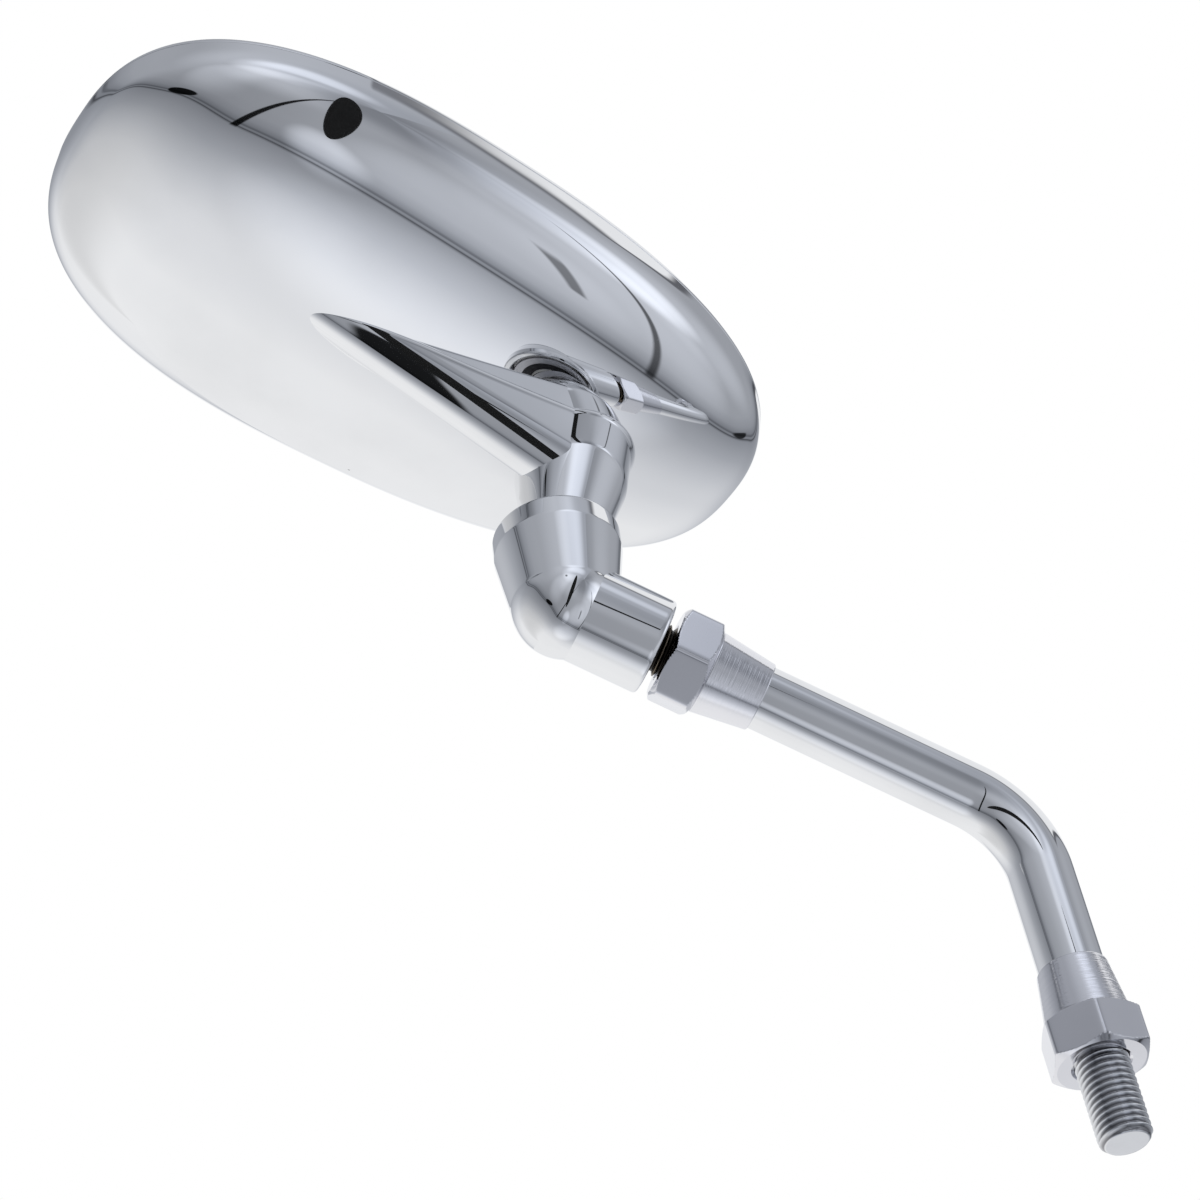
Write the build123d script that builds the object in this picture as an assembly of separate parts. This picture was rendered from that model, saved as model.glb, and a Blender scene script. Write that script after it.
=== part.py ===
from build123d import *
import os
from math import cos, pi, radians, sin, sqrt, tan

# Stem rod: a solid bar bent once, with a threaded end at each side
ROD_OD = 12.0
THREAD_OD = 9.86
STUD_LENGTH = 16.0
STUD_CHAMFER = 1.0
STUD_GROOVE_WIDTH = 0.6
STUD_GROOVE_DEPTH = 0.3
STEM_HEIGHT = 52.3
ARM_LENGTH = 92.0
BEND_ANGLE = 61.3
BEND_RADIUS = 19.5
THREAD_PLAY = 0.05

# Ferrules: tapered collars pressed on the rod against its shoulders
FERRULE_LENGTH = 10.9
FERRULE_LARGE_OD = 15.7
FERRULE_SMALL_OD = 13.0
FERRULE_EDGE = 0.4
PRESS_PLAY = 0.02

# Nuts
NUT_AF = 17.0
LOWER_NUT_HEIGHT = 8.6
LOWER_NUT_TURN = 9.0
LOCK_NUT_HEIGHT = 8.0
LOCK_NUT_TURN = 5.0
NUT_CHAMFER_ANGLE = 30.0
NUT_FACE_SHARE = 0.95
NUT_COUNTERSINK = 0.6

# Knuckle: cup, elbow and leg in one casting
KNUCKLE_TURN = 5.0
ELBOW_ANGLE = 111.3
ELBOW_RADIUS = 9.9
LEG_OD = 18.2
LEG_LENGTH = 18.2
LEG_EDGE = 0.8
THREAD_HOLE_SPARE = 0.5
LOCK_GAP = 1.9
THREAD_ENGAGEMENT = 10.6
CUP_HEIGHT = 16.6
CUP_RADIUS = 11.8
CUP_BAND = 4.2
CUP_WAIST_RADIUS = 9.6
CUP_WAIST_HEIGHT = -2.0
CUP_EDGE = 0.4
CUP_LIP = 1.3
CUP_FLARE = 1.2

# Ball joint inside the cup
BALL_RADIUS = 5.0
BALL_DEPTH = 5.5
LINER_WALL = 0.95
LINER_HALF_HEIGHT = 3.6
SEAT_RADIUS = 9.25
SEAT_SPLIT = 0.3
SEAT_UPPER_HEIGHT = 3.2
SEAT_LOWER_HEIGHT = 5.0
BALL_PLAY = 0.08
SEAT_PLAY = 0.05
SPRING_HEIGHT = 1.6
SPRING_THICKNESS = 0.8
SPRING_OUTER = 8.8
SPRING_INNER = 5.2
RING_THICKNESS = 1.1
RING_INNER = 7.5
RING_GRIP = 0.7
RING_PLAY = 0.05

# How the head is turned and tipped on its ball
SWIVEL_ANGLE = 11.11
TILT_ANGLE = 12.27
LEAN_ANGLE = 0.85

# Head outline: an egg-shaped superellipse, larger at its outer end
HEAD_HALF_LENGTH = 72.1
HEAD_HALF_WIDTH = 38.4
HEAD_SQUARENESS = 2.5
HEAD_TAPER = -0.11
HEAD_DEPTH = 20.1
RIM_BAND = 1.5
DOME_CROWN = 2.11
DOME_SHOULDER = 2.79
SHELL_WALL = 2.0

# Boss and ridge on the back of the head
BOSS_ALONG = 37.7
BOSS_ACROSS = 0.3
RIM_HEIGHT = 50.3
BOSS_RADIUS = 10.6
BOSS_TIP_RADIUS = 7.5
BOSS_TIP_HEIGHT = 7.0
BOSS_CONE_END = 23.0
BOSS_FLOOR = 5.5
BOSS_CORE_RADIUS = 6.0
RIDGE_RADIUS = 6.0
RIDGE_HEIGHT = 21.2
RIDGE_ACROSS = -3.5
RIDGE_LENGTH = 66.0
RIDGE_RISE = 13.6
RIDGE_YAW = 3.5
RIDGE_TAPER = 1.6

# Ball stud and its nut
NECK_RADIUS = 2.6
STUD_FLANGE_RADIUS = 4.5
STUD_FLANGE_HEIGHT = 0.9
STUD_THREAD_OD = 5.9
STUD_THREAD_PLAY = 0.05
WASHER_RADIUS = 6.0
WASHER_THICKNESS = 1.2
STUD_NUT_AF = 10.0
STUD_NUT_HEIGHT = 5.0
STUD_NUT_PROUD = 1.2

# Glass, gasket and bezel at the front
GLASS_RADIUS = 1400.0
GLASS_THICKNESS = 2.0
GLASS_PLAY = 0.15
LEDGE_DEPTH = 4.2
LEDGE_THICKNESS = 1.8
LEDGE_WIDTH = 2.0
LEDGE_ROOT = 0.5
BEZEL_THICKNESS = 1.3
BEZEL_WIDTH = 3.4
BEZEL_EDGE = 0.5
GASKET_WIDTH = 1.2
GASKET_PLAY = 0.35

EPS = 0.01


def spin(points):
    """Solid of revolution about Z from a closed (radius, height) outline."""
    return revolve(make_face(Plane.XZ * Polyline(*points, close=True)), Axis.Z)


def hex_nut(across_flats, height, bore_radius):
    """Chamfered hexagon nut standing on Z = 0, countersunk at both mouths."""
    corner = across_flats / sqrt(3)
    face_radius = across_flats / 2 * NUT_FACE_SHARE
    drop = (corner + 1 - face_radius) * tan(radians(NUT_CHAMFER_ANGLE))
    prism = extrude(RegularPolygon(corner, 6), height)
    turned = spin([
        (0, 0), (face_radius, 0), (corner + 1, drop),
        (corner + 1, height - drop), (face_radius, height), (0, height),
    ])
    mouth = bore_radius + NUT_COUNTERSINK
    hole = spin([
        (0, -EPS), (mouth + EPS, -EPS), (bore_radius, NUT_COUNTERSINK),
        (bore_radius, height - NUT_COUNTERSINK), (mouth + EPS, height + EPS), (0, height + EPS),
    ])
    return (prism & turned) - hole


def ferrule():
    """Tapered collar with its large end on Z = 0."""
    bore = ROD_OD / 2 + PRESS_PLAY
    large, small = FERRULE_LARGE_OD / 2, FERRULE_SMALL_OD / 2
    return spin([
        (bore, 0), (large - FERRULE_EDGE, 0), (large, FERRULE_EDGE),
        (small, FERRULE_LENGTH), (bore, FERRULE_LENGTH),
    ])


def egg_face(inset, height, share=1.0):
    """Face inside the head's outline, at a height over the rim plane, drawn in by an inset."""
    a, b = HEAD_HALF_LENGTH - inset, HEAD_HALF_WIDTH - inset
    points = []
    for step in range(32):
        angle = 2 * pi * (step + 0.5) / 32
        c, s = cos(angle), sin(angle)
        x = a * share * abs(c) ** (2 / HEAD_SQUARENESS) * (1 if c > 0 else -1)
        y = b * share * abs(s) ** (2 / HEAD_SQUARENESS) * (1 if s > 0 else -1)
        points.append((x, y * (1 + HEAD_TAPER * x / HEAD_HALF_LENGTH), height))
    return make_face(Spline(*points, periodic=True))


def egg_prism(inset, low, high):
    """Straight prism of the head's outline between two heights."""
    return extrude(egg_face(inset, low), high - low, dir=(0, 0, 1))


def dome(inset, top):
    """Half shell's filled form: from a top height down round the shoulder to the crown."""
    sections = [egg_face(inset, top)]
    for angle in (2, 12, 24, 36, 48, 60, 70, 78, 84):
        share = cos(radians(angle)) ** (2 / DOME_CROWN)
        drop = sin(radians(angle)) ** (2 / DOME_SHOULDER)
        sections.append(egg_face(inset, -RIM_BAND - (HEAD_DEPTH - inset - RIM_BAND) * drop, share))
    return loft(sections)


# Places along the stem, from the seat face of the lower nut
SHANK_LOW = LOWER_NUT_HEIGHT
CORNER = Vector(0, 0, STEM_HEIGHT)
ARM_DIR = Vector(-sin(radians(BEND_ANGLE)), 0, cos(radians(BEND_ANGLE)))
ELBOW = CORNER + ARM_DIR * ARM_LENGTH
NUT_FROM_ELBOW = LEG_LENGTH + LOCK_GAP
SHANK_FROM_ELBOW = NUT_FROM_ELBOW + LOCK_NUT_HEIGHT
THREAD_FROM_ELBOW = LEG_LENGTH - THREAD_ENGAGEMENT

# The leg's frame at the elbow: Z runs along the leg to the stem, X is the upper side
leg_frame = Plane(ELBOW, x_dir=(cos(radians(BEND_ANGLE)), 0, sin(radians(BEND_ANGLE))), z_dir=-ARM_DIR)
# The cup's frame at the elbow: Z runs out of the cup's mouth, X lies towards the leg
cup_frame = leg_frame.location * Rotation(0, 0, -KNUCKLE_TURN) * Rotation(0, ELBOW_ANGLE, 0) * Rotation(0, 0, 180)
BALL_HEIGHT = CUP_HEIGHT - BALL_DEPTH
ball_frame = cup_frame * Location((0, 0, BALL_HEIGHT))
head_frame = ball_frame * Rotation(0, 0, SWIVEL_ANGLE) * Rotation(0, TILT_ANGLE, 0) * Rotation(LEAN_ANGLE, 0, 0)
rim_frame = head_frame * Location((-BOSS_ALONG, -BOSS_ACROSS, RIM_HEIGHT))

# Stem rod with its two threaded ends
thread_radius = THREAD_OD / 2
groove_radius = thread_radius - STUD_GROOVE_DEPTH
tangent = BEND_RADIUS * tan(radians(BEND_ANGLE / 2))
bend_start = CORNER - Vector(0, 0, 1) * tangent
bend_end = CORNER + ARM_DIR * tangent
shank_end = ELBOW - ARM_DIR * SHANK_FROM_ELBOW
thread_end = ELBOW - ARM_DIR * THREAD_FROM_ELBOW
lower_run = Line((0, 0, SHANK_LOW), bend_start)
bend = TangentArc(bend_start, bend_end, tangent=(0, 0, 1))
upper_run = Line(bend_end, shank_end)
shank = sweep(Plane(lower_run @ 0, z_dir=(0, 0, 1)) * Circle(ROD_OD / 2), path=lower_run + bend + upper_run)
lower_stud = spin([
    (0, -STUD_LENGTH), (thread_radius - STUD_CHAMFER, -STUD_LENGTH),
    (thread_radius, STUD_CHAMFER - STUD_LENGTH), (thread_radius, 0), (groove_radius, 0),
    (groove_radius, STUD_GROOVE_WIDTH), (thread_radius, STUD_GROOVE_WIDTH), (thread_radius, SHANK_LOW), (0, SHANK_LOW),
])
upper_stud_length = (thread_end - shank_end).length
upper_stud = Plane(shank_end, z_dir=ARM_DIR) * spin([
    (0, 0), (thread_radius, 0), (thread_radius, upper_stud_length - STUD_CHAMFER),
    (thread_radius - STUD_CHAMFER, upper_stud_length), (0, upper_stud_length),
])
stem_rod = shank + lower_stud + upper_stud

# Collars and nuts on the rod
nut_bore = thread_radius + THREAD_PLAY
lower_ferrule = Location((0, 0, SHANK_LOW)) * ferrule()
upper_ferrule = leg_frame.location * Location((0, 0, SHANK_FROM_ELBOW)) * ferrule()
lower_nut = Rotation(0, 0, LOWER_NUT_TURN) * hex_nut(NUT_AF, LOWER_NUT_HEIGHT, nut_bore)
lock_nut = (
    leg_frame.location * Location((0, 0, NUT_FROM_ELBOW)) * Rotation(0, 0, LOCK_NUT_TURN)
    * hex_nut(NUT_AF, LOCK_NUT_HEIGHT, nut_bore)
)

# Knuckle casting, in the cup's frame
bore_radius = SEAT_RADIUS + SEAT_PLAY
bore_floor = BALL_HEIGHT - SEAT_LOWER_HEIGHT - SPRING_HEIGHT
ring_low = BALL_HEIGHT + SEAT_UPPER_HEIGHT
ring_groove = bore_radius + RING_GRIP
mouth_radius = CUP_RADIUS - CUP_LIP
hole_end = THREAD_FROM_ELBOW - THREAD_HOLE_SPARE
cup = spin([
    (0, CUP_WAIST_HEIGHT), (CUP_WAIST_RADIUS, CUP_WAIST_HEIGHT), (CUP_RADIUS, CUP_HEIGHT - CUP_BAND),
    (CUP_RADIUS, CUP_HEIGHT - CUP_EDGE), (CUP_RADIUS - CUP_EDGE, CUP_HEIGHT), (0, CUP_HEIGHT),
])
leg_turn = Rotation(0, ELBOW_ANGLE, 0)
leg = leg_turn * spin([
    (0, 0), (LEG_OD / 2, 0), (LEG_OD / 2, LEG_LENGTH - LEG_EDGE),
    (LEG_OD / 2 - LEG_EDGE, LEG_LENGTH), (0, LEG_LENGTH),
])
cup_hollow = spin([
    (0, bore_floor), (bore_radius, bore_floor), (bore_radius, ring_low),
    (ring_groove, ring_low), (ring_groove, ring_low + RING_THICKNESS + RING_PLAY),
    (bore_radius, ring_low + RING_THICKNESS + RING_PLAY), (bore_radius, CUP_HEIGHT - CUP_FLARE),
    (mouth_radius, CUP_HEIGHT), (mouth_radius, CUP_HEIGHT + 1), (0, CUP_HEIGHT + 1),
])
thread_hole = leg_turn * spin([
    (0, hole_end), (nut_bore, hole_end),
    (nut_bore, LEG_LENGTH - NUT_COUNTERSINK), (nut_bore + NUT_COUNTERSINK, LEG_LENGTH),
    (nut_bore + NUT_COUNTERSINK, LEG_LENGTH + 1), (0, LEG_LENGTH + 1),
])
knuckle = cup_frame * ((Sphere(ELBOW_RADIUS) + cup + leg) - cup_hollow - thread_hole)

# Ball joint's inner pieces, in the ball's frame
liner_inner = BALL_RADIUS + BALL_PLAY
liner_outer = liner_inner + LINER_WALL
seat_inner = liner_outer + BALL_PLAY
seat_lower = ball_frame * (
    spin([
        (0, -SEAT_LOWER_HEIGHT), (SEAT_RADIUS, -SEAT_LOWER_HEIGHT),
        (SEAT_RADIUS, -SEAT_SPLIT / 2), (0, -SEAT_SPLIT / 2),
    ]) - Sphere(seat_inner)
)
seat_upper = ball_frame * (
    spin([
        (0, SEAT_SPLIT / 2), (SEAT_RADIUS, SEAT_SPLIT / 2),
        (SEAT_RADIUS, SEAT_UPPER_HEIGHT), (0, SEAT_UPPER_HEIGHT),
    ]) - Sphere(seat_inner)
)
ball_liner = ball_frame * (
    (Sphere(liner_outer) - Sphere(liner_inner))
    & Cylinder(liner_outer + 1, 2 * LINER_HALF_HEIGHT)
)
preload_spring = cup_frame * Location((0, 0, bore_floor)) * spin([
    (SPRING_INNER, SPRING_HEIGHT - SPRING_THICKNESS), (SPRING_OUTER, 0),
    (SPRING_OUTER, SPRING_THICKNESS), (SPRING_INNER, SPRING_HEIGHT),
])
retaining_ring = cup_frame * spin([
    (RING_INNER, ring_low), (ring_groove - RING_PLAY, ring_low),
    (ring_groove - RING_PLAY, ring_low + RING_THICKNESS), (RING_INNER, ring_low + RING_THICKNESS),
])

# Mirror housing: domed shell, ridge and boss, cored from inside
to_rim = Location((-BOSS_ALONG, -BOSS_ACROSS, RIM_HEIGHT))
rib_foot = RIM_HEIGHT - LEDGE_DEPTH - LEDGE_THICKNESS


def rib(shrink):
    """Tapered rib with a round crest that rises out of the crown from its tip to the boss."""
    sections = []
    for along in (0, RIDGE_LENGTH):
        radius = RIDGE_RADIUS - along * tan(radians(RIDGE_TAPER)) - shrink
        height = RIDGE_HEIGHT + along * tan(radians(RIDGE_RISE))
        across = RIDGE_ACROSS + along * tan(radians(RIDGE_YAW))
        depth = rib_foot - height
        outline = Polyline((radius, 0), (radius, -depth), (-radius, -depth), (-radius, 0))
        crest = ThreePointArc((-radius, 0), (0, radius), (radius, 0))
        sections.append(Plane((-along, across, height), x_dir=(0, 1, 0), z_dir=(-1, 0, 0)) * make_face(outline + crest))
    return loft(sections)


boss = spin([
    (0, BOSS_TIP_HEIGHT), (BOSS_TIP_RADIUS, BOSS_TIP_HEIGHT), (BOSS_RADIUS, BOSS_CONE_END),
    (BOSS_RADIUS, rib_foot), (0, rib_foot),
])
core_radius = BOSS_RADIUS - SHELL_WALL
boss_floor = BOSS_TIP_HEIGHT + BOSS_FLOOR
stud_radius = STUD_THREAD_OD / 2
stud_hole = stud_radius + STUD_THREAD_PLAY
boss_core = spin([
    (0, BOSS_TIP_HEIGHT - 1), (stud_hole, BOSS_TIP_HEIGHT - 1), (stud_hole, boss_floor),
    (BOSS_CORE_RADIUS, boss_floor), (core_radius, BOSS_CONE_END), (core_radius, rib_foot), (0, rib_foot),
])
outer_form = to_rim * dome(0, 0)
cored = (to_rim * dome(SHELL_WALL, 1)) + rib(SHELL_WALL) + boss_core
ledge = to_rim * (
    egg_prism(SHELL_WALL - LEDGE_ROOT, -LEDGE_DEPTH - LEDGE_THICKNESS, -LEDGE_DEPTH)
    - egg_prism(SHELL_WALL + LEDGE_WIDTH, -LEDGE_DEPTH - LEDGE_THICKNESS - 1, -LEDGE_DEPTH + 1)
)
housing_form = (outer_form + rib(0) + boss) - cored + ledge
mirror_housing = head_frame * housing_form

# Ball stud, washer and nut that hold the head
ball_stud = head_frame * (
    Sphere(BALL_RADIUS)
    + spin([
        (0, 0), (NECK_RADIUS, 0), (NECK_RADIUS, BOSS_TIP_HEIGHT - STUD_FLANGE_HEIGHT),
        (STUD_FLANGE_RADIUS, BOSS_TIP_HEIGHT - STUD_FLANGE_HEIGHT), (STUD_FLANGE_RADIUS, BOSS_TIP_HEIGHT),
        (stud_radius, BOSS_TIP_HEIGHT),
        (stud_radius, boss_floor + WASHER_THICKNESS + STUD_NUT_HEIGHT + STUD_NUT_PROUD),
        (0, boss_floor + WASHER_THICKNESS + STUD_NUT_HEIGHT + STUD_NUT_PROUD),
    ])
)
stud_washer = head_frame * Location((0, 0, boss_floor)) * spin([
    (stud_hole, 0), (WASHER_RADIUS, 0), (WASHER_RADIUS, WASHER_THICKNESS), (stud_hole, WASHER_THICKNESS),
])
stud_nut = (
    head_frame * Location((0, 0, boss_floor + WASHER_THICKNESS))
    * hex_nut(STUD_NUT_AF, STUD_NUT_HEIGHT, stud_hole)
)

# Convex glass on its gasket, held by the bezel
glass_inset = SHELL_WALL + GLASS_PLAY
gasket_inset = glass_inset + GASKET_PLAY
glass_sag = (HEAD_HALF_WIDTH - glass_inset) ** 2 / (2 * GLASS_RADIUS)


def lens(radius, low):
    """Cap of a large ball that shares the glass's centre, filled down to a low height."""
    reach = 1.2 * HEAD_HALF_LENGTH
    top = radius - GLASS_RADIUS + glass_sag
    rim = top - radius + sqrt(radius**2 - reach**2)
    profile = make_face(
        Plane.XZ * (
            Line((0, low), (reach, low)) + Line((reach, low), (reach, rim))
            + RadiusArc((reach, rim), (0, top), -radius) + Line((0, top), (0, low))
        )
    )
    return revolve(profile, Axis.Z)


front_lens = lens(GLASS_RADIUS, -HEAD_DEPTH)
back_lens = lens(GLASS_RADIUS - GLASS_THICKNESS, -HEAD_DEPTH)
mirror_glass = rim_frame * ((egg_prism(glass_inset, -HEAD_DEPTH, HEAD_DEPTH) & front_lens) - back_lens)
rim_gasket = rim_frame * (
    (egg_prism(gasket_inset, -LEDGE_DEPTH, 0) - egg_prism(gasket_inset + GASKET_WIDTH, -LEDGE_DEPTH - 1, 1))
    & back_lens
)
bezel_side = BEZEL_THICKNESS - BEZEL_EDGE
bezel_outer = egg_prism(0, 0, bezel_side) + loft([egg_face(0, bezel_side), egg_face(BEZEL_EDGE, BEZEL_THICKNESS)])
bezel_lip = egg_prism(glass_inset, -GLASS_THICKNESS, BEZEL_THICKNESS)
bezel_hole = egg_prism(BEZEL_WIDTH, -GLASS_THICKNESS - 1, BEZEL_THICKNESS + 1)
bezel_ring = (bezel_outer + bezel_lip) - bezel_hole - front_lens
bezel = rim_frame * bezel_ring

pieces = {
    "stem_rod": stem_rod,
    "lower_ferrule": lower_ferrule,
    "upper_ferrule": upper_ferrule,
    "lower_nut": lower_nut,
    "lock_nut": lock_nut,
    "knuckle": knuckle,
    "preload_spring": preload_spring,
    "retaining_ring": retaining_ring,
    "seat_lower": seat_lower,
    "seat_upper": seat_upper,
    "ball_liner": ball_liner,
    "mirror_housing": mirror_housing,
    "ball_stud": ball_stud,
    "stud_washer": stud_washer,
    "stud_nut": stud_nut,
    "rim_gasket": rim_gasket,
    "mirror_glass": mirror_glass,
    "bezel": bezel,
}

os.makedirs("parts", exist_ok=True)
for name, piece in pieces.items():
    export_step(piece, f"parts/{name}.step")
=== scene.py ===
"""Looks of a chrome motorcycle mirror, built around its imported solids, in metres."""

import logging
from dataclasses import dataclass, field
from enum import Enum
from math import radians, tan
from typing import ClassVar

import bmesh
import bpy
import numpy as np
from mathutils import Euler, Matrix, Vector


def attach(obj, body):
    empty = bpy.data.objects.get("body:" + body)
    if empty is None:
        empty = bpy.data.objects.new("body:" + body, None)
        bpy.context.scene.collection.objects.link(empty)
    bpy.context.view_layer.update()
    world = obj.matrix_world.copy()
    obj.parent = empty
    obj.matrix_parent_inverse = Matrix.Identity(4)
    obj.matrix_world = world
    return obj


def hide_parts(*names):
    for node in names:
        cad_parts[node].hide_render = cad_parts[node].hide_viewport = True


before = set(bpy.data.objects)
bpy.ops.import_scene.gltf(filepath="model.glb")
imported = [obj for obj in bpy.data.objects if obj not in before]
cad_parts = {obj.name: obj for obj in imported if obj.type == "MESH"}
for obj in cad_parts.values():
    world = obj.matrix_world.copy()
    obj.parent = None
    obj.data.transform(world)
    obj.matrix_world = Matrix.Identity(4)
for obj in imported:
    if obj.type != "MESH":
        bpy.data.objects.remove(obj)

LOG = logging.getLogger("mirror")
MM = 0.001
MERGE_DISTANCE = 1e-7
SLIVER_LENGTH = 1e-8
CLOSE_SEGMENTS = 240
OUTLINE_SEGMENTS = 480
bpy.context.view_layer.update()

Socket = bpy.types.NodeSocket
Input = Socket | float | tuple


class Body(Enum):
    """The moving bodies that the pieces ride on."""

    STEM = "stem"
    LOWER_NUT = "lower_nut"
    LOCK_NUT = "lock_nut"
    KNUCKLE = "knuckle"
    HEAD = "head"


class Slot(Enum):
    """The record's material slot names."""

    CHROME = "chrome"
    TURNED = "turned_steel"
    MIRROR = "mirror"


def turn(axis: str, angle: float) -> np.ndarray:
    """Rotation matrix about a main axis by an angle in degrees."""
    return np.array(Matrix.Rotation(radians(angle), 3, axis))


@dataclass(frozen=True)
class Place:
    """A local frame: axes as the columns of a matrix, and an origin in millimetres."""

    axes: np.ndarray
    origin: np.ndarray

    def turned(self, axis: str, angle: float) -> "Place":
        """The same origin with its axes turned about one of them."""
        return Place(self.axes @ turn(axis, angle), self.origin)

    def moved(self, x: float, y: float, z: float) -> "Place":
        """The same axes with the origin moved along them."""
        return Place(self.axes, self.origin + self.axes @ np.array([x, y, z]))

    def put(self, points: np.ndarray) -> np.ndarray:
        """Local points in millimetres, as row-frame points in metres."""
        return (points @ self.axes.T + self.origin) * MM

    def mapping(self) -> tuple[Vector, Euler]:
        """Location and rotation of a Mapping node that brings row-frame metres to local metres."""
        inverse = Matrix(self.axes.T.tolist())
        return -(inverse @ Vector((self.origin * MM).tolist())), inverse.to_euler()


@dataclass(frozen=True)
class Layout:
    """Where the assemblies stand, in millimetres and degrees, as the solids have them."""

    stem_height: float = 52.3
    arm_length: float = 92.0
    bend_angle: float = 61.3
    bend_radius: float = 19.5
    knuckle_turn: float = 5.0
    elbow_angle: float = 111.3
    cup_height: float = 16.6
    ball_depth: float = 5.5
    swivel_angle: float = 11.11
    tilt_angle: float = 12.27
    lean_angle: float = 0.85
    boss_along: float = 37.7
    boss_across: float = 0.3
    rim_height: float = 50.3

    @property
    def base(self) -> Place:
        """Row frame: the stud's axis is Z."""
        return Place(np.eye(3), np.zeros(3))

    @property
    def arm(self) -> np.ndarray:
        """Direction of the stem's arm, from the bend to the elbow."""
        bend = radians(self.bend_angle)
        return np.array([-np.sin(bend), 0.0, np.cos(bend)])

    @property
    def leg(self) -> Place:
        """Elbow frame: Z runs along the leg towards the stem.

        Returns:
            The frame.
        """
        side = np.array([0.0, -1.0, 0.0])
        elbow = np.array([0.0, 0.0, self.stem_height]) + self.arm * self.arm_length
        return Place(np.column_stack([np.cross(side, -self.arm), side, -self.arm]), elbow)

    @property
    def cup(self) -> Place:
        """Elbow frame: Z runs out of the cup's mouth, X lies towards the leg."""
        return self.leg.turned("Z", -self.knuckle_turn).turned("Y", self.elbow_angle).turned("Z", 180.0)

    @property
    def head(self) -> Place:
        """Ball frame of the head: Z runs up the boss to the glass."""
        ball = self.cup.moved(0.0, 0.0, self.cup_height - self.ball_depth)
        return ball.turned("Z", self.swivel_angle).turned("Y", self.tilt_angle).turned("X", self.lean_angle)

    @property
    def rim(self) -> Place:
        """Frame of the head's rim plane, centred on its outline."""
        return self.head.moved(-self.boss_along, -self.boss_across, self.rim_height)


LAYOUT = Layout()


# Surfaces


def rounded(corners: list[tuple[float, float]], cuts: list[float], steps: int = 7) -> np.ndarray:
    """Profile with its corners rounded off.

    Each corner becomes a quadratic curve from one cut before it to one cut after it, with a
    support point half a cut further out on both sides to keep the straights straight.

    Args:
        corners: corner points of the profile, as (radius, height).
        cuts: how far from each corner its curve starts; 0 keeps the corner.
        steps: points on each curve.

    Returns:
        Points of the profile, one row each.
    """
    support, tiny = 1.5, 1e-6
    points = np.asarray(corners, float)
    cut = np.asarray(cuts, float)[:, None]
    before = np.vstack([points[:1], points[:-1]]) - points
    after = np.vstack([points[1:], points[-1:]]) - points
    before = before / np.maximum(np.linalg.norm(before, axis=1, keepdims=True), tiny)
    after = after / np.maximum(np.linalg.norm(after, axis=1, keepdims=True), tiny)
    t = np.linspace(0.0, 1.0, steps)[None, :, None]
    start, end = (points + before * cut)[:, None], (points + after * cut)[:, None]
    curve = (1 - t) ** 2 * start + 2 * t * (1 - t) * points[:, None] + t**2 * end
    lead = (points + before * cut * support)[:, None]
    trail = (points + after * cut * support)[:, None]
    rows = np.concatenate([lead, curve, trail], axis=1).reshape(-1, 2)
    step = np.linalg.norm(np.diff(rows, axis=0), axis=1)
    return rows[np.concatenate([[True], step > tiny])]


def spun(profile: np.ndarray, segments: int = 180) -> np.ndarray:
    """Surface of revolution: each profile point (radius, height) goes once round Z.

    Args:
        profile: profile points, one row each.
        segments: points round the axis.

    Returns:
        Grid of points, profile by angle.
    """
    angle = np.linspace(0.0, 2 * np.pi, segments, endpoint=False)
    radius = profile[:, :1]
    height = np.repeat(profile[:, 1:], segments, axis=1)
    return np.stack([radius * np.cos(angle), radius * np.sin(angle), height], axis=-1)


def piece(name: str, grid: np.ndarray, body: Body, ring: bool = True) -> bpy.types.Object:
    """Mesh object from a grid of points in metres, riding on a body.

    Args:
        name: the piece's name.
        grid: points, rows by columns by 3.
        body: the body it moves with.
        ring: whether the last column joins the first.

    Returns:
        The new object, smooth, with doubles merged and faces turned outwards.
    """
    rows, cols = grid.shape[:2]
    index = np.arange(rows * cols).reshape(rows, cols)
    last = np.roll(index, -1, axis=1) if ring else index[:, 1:]
    first = index if ring else index[:, :-1]
    quads = np.stack([first[:-1], last[:-1], last[1:], first[1:]], axis=-1).reshape(-1, 4)
    mesh = bpy.data.meshes.new(name)
    mesh.from_pydata(grid.reshape(-1, 3), [], quads)
    work = bmesh.new()
    work.from_mesh(mesh)
    bmesh.ops.remove_doubles(work, verts=work.verts, dist=MERGE_DISTANCE)
    bmesh.ops.dissolve_degenerate(work, edges=work.edges, dist=SLIVER_LENGTH)
    bmesh.ops.recalc_face_normals(work, faces=work.faces)
    work.to_mesh(mesh)
    work.free()
    mesh.polygons.foreach_set("use_smooth", np.ones(len(mesh.polygons), bool))
    mesh.update()
    made = bpy.data.objects.new(name, mesh)
    bpy.context.collection.objects.link(made)
    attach(made, body.value)
    LOG.info("%s: %d faces on %s", name, len(mesh.polygons), body.value)
    return made


# Shader building blocks


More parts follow.
